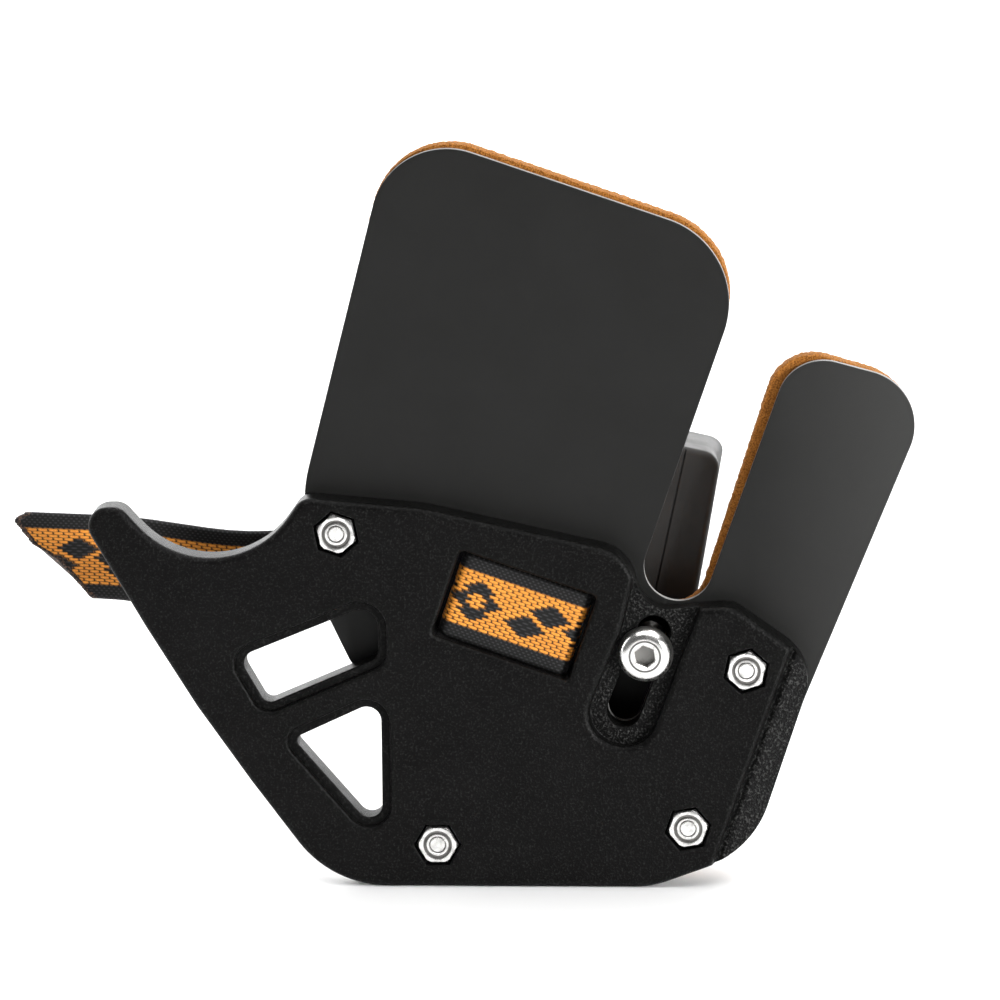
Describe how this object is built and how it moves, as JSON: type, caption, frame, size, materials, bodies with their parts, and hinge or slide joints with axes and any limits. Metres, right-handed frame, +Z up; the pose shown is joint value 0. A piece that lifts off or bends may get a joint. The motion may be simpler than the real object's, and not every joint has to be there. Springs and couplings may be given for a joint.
{
  "type": "archery finger tab",
  "caption": "Right-hand archery finger tab: hooked front plate, two-layer leather with a wide and a narrow lobe, back plate, sliding finger spacer and webbing finger strap",
  "frame": {"origin": "middle of the bounding box in plan, at the straight lower edge the tab stands on", "axes": "+X to the right seen from the string side (index finger side), +Y from the string side to the hand side, +Z up along the leather"},
  "size_m": [0.1246, 0.0352, 0.1023],
  "materials": {
    "moulded_plastic": "fine-grained black moulding, satin",
    "string_face": "smooth matte black string face",
    "suede_backing": "orange-brown suede with a fuzzy cut edge",
    "stainless_steel": "bright stainless, slightly worn",
    "spacer_rubber": "dark grey satin rubber",
    "brass": "turned brass",
    "webbing": "orange jacquard weave with black selvedges"
  },
  "bodies": {
    "tab_body": {"front_plate": "moulded_plastic", "string_face_root": "string_face", "backing_root": "suede_backing", "back_plate": "moulded_plastic", "clamp_nut_upper_left": "stainless_steel", "clamp_nut_lower_left": "stainless_steel", "clamp_nut_lower_right": "stainless_steel", "clamp_nut_upper_right": "stainless_steel", "clamp_screw_upper_left": "stainless_steel", "clamp_screw_lower_left": "stainless_steel", "clamp_screw_lower_right": "stainless_steel", "clamp_screw_upper_right": "stainless_steel", "strap_band": "webbing", "strap_loop": "webbing"},
    "wide_lobe": {"string_face_wide_flap": "string_face", "backing_wide_flap": "suede_backing"},
    "index_lobe": {"string_face_index_flap": "string_face", "backing_index_flap": "suede_backing"},
    "finger_spacer": {"spacer_core": "moulded_plastic", "spacer_grip": "spacer_rubber", "spacer_insert": "brass"},
    "spacer_clamp": {"spacer_screw": "stainless_steel"},
    "strap_end": {"strap_tail": "webbing"}
  },
  "joints": [
    {"name": "wide_lobe_flex", "type": "hinge", "parent": "tab_body", "child": "wide_lobe", "pos_m": [0.00629, -0.00965, 0.05258], "axis": [0.996, 0, -0.0889], "range_deg": [-12, 45], "stiffness_Nm_per_rad": 0.05},
    {"name": "index_lobe_flex", "type": "hinge", "parent": "tab_body", "child": "index_lobe", "pos_m": [0.04251, -0.00965, 0.03856], "axis": [0.9239, 0, -0.3827], "range_deg": [-12, 45], "stiffness_Nm_per_rad": 0.03},
    {"name": "spacer_slide", "type": "slide", "parent": "tab_body", "child": "finger_spacer", "axis": [0.3584, 0, 0.9336], "range_m": [-0.0085, 0.0029]},
    {"name": "spacer_screw_turn", "type": "hinge", "parent": "finger_spacer", "child": "spacer_clamp", "pos_m": [0.02578, -0.01705, 0.03252], "axis": [0, 1, 0], "range_deg": [-360, 0]},
    {"name": "strap_tail_flex", "type": "hinge", "parent": "tab_body", "child": "strap_end", "pos_m": [-0.00489, -0.00185, 0.04253], "axis": [0.3305, 0, 0.9438], "range_deg": [-50, 2], "stiffness_Nm_per_rad": 0.003}
  ]
}
